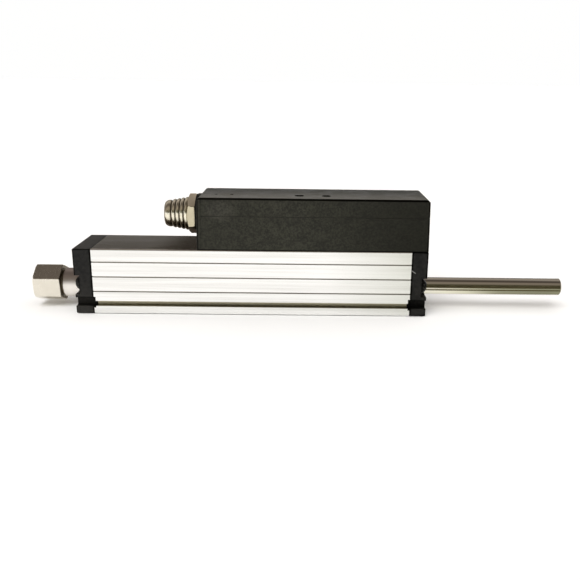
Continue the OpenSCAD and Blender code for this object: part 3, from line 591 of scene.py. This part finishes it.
# Signal box
# A black moulded box: a base screwed to the section from inside, a snap-on lid with some dust and a
# painted sheen on it and an end plate that carries the outlet, all out of spark-etched moulds that
# leave a fine matt grain. Painted light and shade change its tone along its length, and painted shade
# darkens its rounded edges.
box_black = Finish("box_black", Specular_IOR_Level=0.34, Specular_Tint=(1.0, 0.99, 0.86))
box_x, box_z = box_black.along("X"), box_black.along("Z")
box_clouds = box_black.ease(box_black.noise((150, 150, 220), detail=5, roughness=0.65), 0.3, 0.7)
box_sparks = box_black.noise((2600, 2600, 2600), detail=3, roughness=0.6)
box_specks = box_black.ease(box_black.noise((4500, 4500, 4500), detail=2), 0.35, 0.65)
box_mottle = box_black.ease(box_black.noise((1300, 1300, 1300), detail=3, roughness=0.6), 0.3, 0.7)
box_smears = box_black.ease(box_black.noise((45, 45, 70), detail=6, roughness=0.65), 0.48, 0.75)
box_grain = box_black.ease(0.25 * box_clouds + 0.45 * box_mottle + 0.30 * box_sparks, 0.15, 0.85)
# Painted light and shade: the box is darkest at its right end, a little dim at its left end and brightest
# between.
box_shade_to_right = box_black.ease(box_x, 0.012, 0.075)
box_painted_light_along = 0.78 + 0.22 * box_black.ease(box_x, -0.024, 0.012) - 0.65 * box_shade_to_right
box_body = box_black.mix(box_grain * box_painted_light_along, (0.0008, 0.0008, 0.0004), (0.023, 0.0235, 0.016))
# Painted shade: faces that are not flat, such as the rounded edges, get an almost black colour and turn
# metallic, so they show as dark lines.
box_level = box_black.ease(box_black.facing("Z"), *squarely)
box_upright = box_black.ease(abs(box_black.facing("Y")), *squarely)
box_ends = box_black.ease(abs(box_black.facing("X")), *squarely)
box_flat = box_level + box_upright + box_ends

scuff_at, scuff_reach = (-0.0135, 0.0475), (0.008, 0.0055)
scuff_x = (box_x - scuff_at[0]) / scuff_reach[0]
scuff_z = (box_z - scuff_at[1]) / scuff_reach[1]
box_scuff = 1 - box_black.ease(scuff_x * scuff_x + scuff_z * scuff_z, 0.1, 1.0)
box_worn = 0.16 * box_scuff * box_upright + 0.10 * box_smears * box_painted_light_along
# Dust with a painted sheen: faces that look up are paler, most of all towards the front edge.
box_front_sheen = box_black.ease(-box_black.along("Y"), -0.010, 0.0150)
box_dust_and_sheen = (0.03 + 0.92 * box_front_sheen) * box_level * (0.50 + 0.18 * box_grain + 0.27 * box_specks)
box_marks_and_sheen = box_worn * (0.45 + 0.55 * box_grain) + box_dust_and_sheen
box_dust_sheen_colour = box_black.mix(box_marks_and_sheen, box_body, (0.110, 0.104, 0.090))

plate_x, plate_lean, joint_half = -0.0221, 0.0171, 0.00006
plate_joint = abs(box_x - plate_x - plate_lean * (box_z - section_top)) < joint_half
box_gap = 1 - box_black.ease(box_z, section_top + 0.00025, section_top + 0.00045)
box_lines = box_gap.most(plate_joint)
box_black.set("Base Color", box_black.mix(box_flat, (0.0008, 0.0008, 0.0006), box_dust_sheen_colour))
box_black.set("Metallic", box_lines.most(0.2 * box_shade_to_right + 0.6 * (1 - box_flat)))
box_black.set("Roughness", 0.36 + 0.10 * box_clouds + 0.10 * box_smears)
box_black.bump(box_sparks, 0.00003)
wire_red = moulded("wire_red", (0.22, 0.022, 0.015), (0.34, 0.04, 0.028), 0.35, 1500, 0.000006)
dress(box_black, "box_base", "box_lid", "box_end_plate")
dress(zinced, "box_fixing_screws")
dress(rubber, "lead_grommet")
dress(wire_red, "track_leads")


# Signal board
# A green solder-masked board on four posts, with its chips, capacitors and screw terminals. Copper
# runs show through the mask as slightly paler, raised lanes.
mask = Finish("board_green", Coat_Weight=0.3, Coat_Roughness=0.15)
lanes = mask.ease(abs(mask.noise((120, 500, 120), detail=0) - 0.5), 0.03, 0.05)
mask.set("Base Color", mask.mix(lanes, (0.050, 0.20, 0.085), (0.024, 0.105, 0.042)))
mask.set("Roughness", 0.36 + 0.1 * mask.noise((300, 300, 300)))
mask.bump(1 - lanes, 0.00003)
epoxy = moulded("chip_black", (0.010, 0.010, 0.011), (0.020, 0.020, 0.021), 0.5, 4000, 0.00001)
can = worked("can_aluminium", (0.60, 0.60, 0.59), (0.76, 0.76, 0.75), 0.3, (200, 200, 5000), 0.000004)
terminal_green = moulded("terminal_green", (0.032, 0.22, 0.08), (0.05, 0.30, 0.12), 0.42, 2600, 0.00001)
dress(mask, "signal_board")
dress(zinced, "board_screws", "terminal_screws")
dress(epoxy, "board_chips")
dress(can, "board_capacitors")
dress(terminal_green, "terminal_block")


# Zero and span adjusters
# Two blue trimmer potentiometers under the holes in the lid. Each has a small turned brass screw with
# a driver slot, which the driver's blade has polished along its edges.
trimmer_blue = moulded(
    "trimmer_blue", (0.014, 0.060, 0.25), (0.026, 0.10, 0.36), 0.3, 2600, 0.000008, Coat_Weight=0.2
)
trimmer_brass = worked(
    "trimmer_brass", (0.52, 0.36, 0.11), (0.72, 0.54, 0.22), 0.27, (3000, 3000, 300), 0.000004
)
dress(trimmer_blue, "zero_trimmer_body", "span_trimmer_body")
dress(trimmer_brass, "zero_trimmer_screw", "span_trimmer_screw")


# Cable outlet
# A nickel-plated brass fitting: a hexagon for the spanner and a tapered nose with five rounded ribs
# that a hose grips. A rubber ring seals it to the end plate, and a thin nut holds it from inside.
outlet_z, outlet_af, outlet_bore_r, stub_r = 43.75, 16.0, 3.0, 4.98
x_hex, x_nose, x_stub = -25.315, -28.915, -17.765
nose_len, nose_root_r, nose_tip_r = 10.8, 7.7, 5.8
rib_count, rib_pitch, rib_depth, rib_points = 5, 1.9, 0.7, 12
outlet_brass = Finish("plated_brass_outlet", Metallic=1)
outlet_turning = outlet_brass.noise((2800, 60, 60), detail=2)
outlet_tarnish = outlet_brass.noise((420, 420, 420), detail=5)
off_axis = outlet_brass.along("Z") - outlet_z / 1000
outlet_r = (outlet_brass.along("Y") ** 2 + off_axis * off_axis) ** 0.5
along_nose = x_nose / 1000 - outlet_brass.along("X")
crown_r = nose_root_r / 1000 + along_nose * ((nose_tip_r - nose_root_r) / nose_len)
on_nose = outlet_brass.ease(along_nose, -0.0001, 0.0003)
# Painted shade: the valleys between the ribs are given a dark colour.
rib_valley_shade = outlet_brass.ease((crown_r - outlet_r) * (1000 / rib_depth), 0.12, 0.65) * on_nose
# Painted shade: faces that look down are given an almost black colour.
shaded = outlet_brass.ease(-outlet_brass.facing("Z"), 0.05, 0.6)
# Painted highlight: the hexagon's faces that look up are given a paler colour.
upper = outlet_brass.ease(outlet_brass.facing("Z"), 0.3, 0.6)
worn_hex = outlet_brass.mix(outlet_tarnish, (0.49, 0.44, 0.31), (0.67, 0.62, 0.46))
hex_with_top_highlight = outlet_brass.mix(upper, worn_hex, (0.84, 0.78, 0.62))
bright_nose = outlet_brass.mix(outlet_tarnish, (0.78, 0.72, 0.54), (0.98, 0.95, 0.82))
outlet_plating = outlet_brass.mix(on_nose, hex_with_top_highlight, bright_nose)
outlet_underside_shaded = outlet_brass.mix(shaded * 0.88, outlet_plating, (0.07, 0.055, 0.035))
outlet_brass.set("Base Color", outlet_brass.mix(rib_valley_shade * 0.9, outlet_underside_shaded, (0.10, 0.07, 0.035)))
outlet_brass.set("Roughness", 0.11 + 0.08 * outlet_turning + 0.08 * outlet_tarnish + 0.15 * rib_valley_shade)
outlet_brass.bump(outlet_turning, 0.0000025)


def outlet_proud(angle):
    """How far the hexagon's corners stand out past the round face that its flats touch."""
    return hexagon(outlet_af, angle) - outlet_af / 2


outlet_outline = [
    (x_stub, outlet_bore_r), (x_stub, 4.6), (x_stub - 0.4, stub_r), (x_hex, stub_r),
    lambda a: (x_hex, outlet_af / 2 + 0.8 * outlet_proud(a) - 0.02),
    lambda a: (x_hex - 0.04 - 0.4 * outlet_proud(a), hexagon(outlet_af, a)),
    lambda a: (x_nose + 0.48 * outlet_proud(a), hexagon(outlet_af, a)),
    (x_nose, outlet_af / 2 - 0.02),
]
for rib in range(rib_count):
    near = rib * rib_pitch
    far = near + rib_pitch if rib < rib_count - 1 else nose_len
    for n in range(rib_points):
        share = n / rib_points
        run = near + share * (far - near)
        swell = math.sin(math.pi * share) ** 0.6
        r = nose_root_r + (nose_tip_r - nose_root_r) * run / nose_len
        outlet_outline.append((x_nose - run, r - rib_depth * (1 - swell)))
x_nose_tip = x_nose - nose_len
outlet_outline += [
    (x_nose_tip, nose_tip_r - rib_depth), (x_nose_tip, outlet_bore_r + 0.25),
    (x_nose_tip + 0.25, outlet_bore_r),
]
outlet = piece("ribbed_outlet", turned(outlet_outline, outlet_z, steps=192), outlet_brass, sharp=60)
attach(outlet, "housing")
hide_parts("conduit_barb")
dress(rubber, "barb_seal")
dress(nickel, "barb_locknut")


# Studio
# A pale floor and a pale horizon under a dim, warm ceiling, so that upright metal looks bright and its
# upper faces dark. Two broad soft lamps light the part, and cards beside it show as reflections.
def staged(name, shape, finish):
    """Stands a mesh drawn in metres in the studio, apart from the part."""
    mesh = bpy.data.meshes.new(name)
    shape.to_mesh(mesh)
    shape.free()
    mesh.materials.append(finish.material)
    made = bpy.data.objects.new(name, mesh)
    bpy.context.scene.collection.objects.link(made)
    return made


floor_size, floor_z = 40, -0.0003
paper = Finish("pale_floor", Roughness=0.9, Specular_IOR_Level=0.0)
paper.set("Base Color", (0.93, 0.93, 0.925))
floor_shape = bmesh.new()
bmesh.ops.create_grid(floor_shape, x_segments=1, y_segments=1, size=floor_size / 2)
floor = staged("floor", floor_shape, paper)
floor.location.z = floor_z

felt = Finish("flag_felt", Roughness=1, Specular_IOR_Level=0.0)
felt.set("Base Color", (0.12, 0.11, 0.065))
shade = Finish("card_shade", Roughness=1, Specular_IOR_Level=0.0)
shade_stops = [(0.25, (0.93, 0.93, 0.925)), (0.55, (0.72, 0.73, 0.69)), (0.72, (0.55, 0.56, 0.51))]
shade.set("Base Color", shade.ramp(shade.along("X") / 0.14, shade_stops))

rod_stops = [
    (0.54, (0.95, 0.95, 0.90)), (0.65, (0.84, 0.85, 0.73)), (0.76, (0.50, 0.52, 0.40)),
    (0.90, (0.36, 0.38, 0.28)),
]
rod_glow_stops = [(0.52, (1.0, 1.0, 0.97)), (0.62, (0.60, 0.60, 0.56)), (0.73, (0.0, 0.0, 0.0))]
rod_stops_end = 0.16
rod_shade = Finish("card_rod_shade", Roughness=1, Specular_IOR_Level=0.0)
under_rod = Finish("card_under_rod", Roughness=1, Specular_IOR_Level=0.0, Emission_Strength=0.7)
for finish in (rod_shade, under_rod):
    finish.set("Base Color", finish.ramp(finish.along("X") / rod_stops_end, rod_stops))
under_rod.set("Emission Color", under_rod.ramp(under_rod.along("X") / rod_stops_end, rod_glow_stops))


def card(name, finish, xs, ys, zs=(0, 0)):
    """A card beside the part, which shows only as a reflection in what shines."""
    shape = bmesh.new()
    corners = ((xs[0], ys[0], zs[0]), (xs[1], ys[0], zs[0]), (xs[1], ys[1], zs[1]), (xs[0], ys[1], zs[1]))
    shape.faces.new([shape.verts.new(corner) for corner in corners])
    made = staged(name, shape, finish)
    made.visible_camera = False
    made.visible_diffuse = False
    made.visible_shadow = False


beside_rod, beside_body = (0.0798, 0.4), (0.02, 0.0798)
flag_y, lying_y, near_y, under_y = -0.055, -0.034, -0.0165, -0.0095
card("upright_flag", felt, (0.095, 0.4), (flag_y, flag_y), (0, 0.034))
card("lying_flag", felt, beside_rod, (flag_y, lying_y))
card("near_flag", felt, beside_rod, (near_y, under_y))
card("middle_card", rod_shade, beside_rod, (lying_y, near_y))
card("under_card", under_rod, beside_rod, (under_y, 0.004))
card("side_card", shade, beside_body, (flag_y, -0.0155))
card("front_card", shade, (0.02, 0.16), (-0.32, flag_y))

world = bpy.data.worlds.new("studio")
world.use_nodes = True
bpy.context.scene.world = world
sky = Nodes(world.node_tree, "Background")
direction = sky.node("ShaderNodeTexCoord", output="Generated")
height = sky.part(direction, "Z")
half_turns = height.calc("ARCTAN2", height, -sky.part(direction, "Y")) / math.pi
ceiling = sky.ramp(half_turns, [
    (0.04, (0.11, 0.10, 0.07)), (0.165, (0.11, 0.10, 0.065)), (0.23, (0.30, 0.26, 0.21)),
    (0.34, (0.30, 0.255, 0.22)), (0.43, (0.12, 0.10, 0.085)), (0.51, (0.09, 0.075, 0.065)),
    (0.55, (0.18, 0.155, 0.135)), (0.60, (0.23, 0.20, 0.18)), (0.66, (0.46, 0.41, 0.38)),
    (0.83, (0.40, 0.36, 0.33)), (0.88, (0.050, 0.042, 0.033)),
])
sky.set("Color", sky.mix(sky.ease(height, 0.158, 0.182), (1.0, 1.0, 0.995), ceiling))


def lamp(name, strength, azimuth, elevation, width):
    """A soft lamp far away, given by its direction and its apparent width in degrees."""
    light = bpy.data.lights.new(name, "SUN")
    light.energy = strength
    light.angle = math.radians(width)
    made = bpy.data.objects.new(name, light)
    turn, rise = math.radians(azimuth), math.radians(elevation)
    towards = Vector((math.sin(turn) * math.cos(rise), -math.cos(turn) * math.cos(rise), math.sin(rise)))
    made.rotation_mode = "QUATERNION"
    made.rotation_quaternion = towards.to_track_quat("Z", "Y")
    made.visible_glossy = False
    bpy.context.scene.collection.objects.link(made)


lamp("key_lamp", 2.0, -25, 52, 50)
lamp("top_lamp", 1.35, 60, 80, 90)

bpy.context.scene.view_settings.view_transform = "Standard"
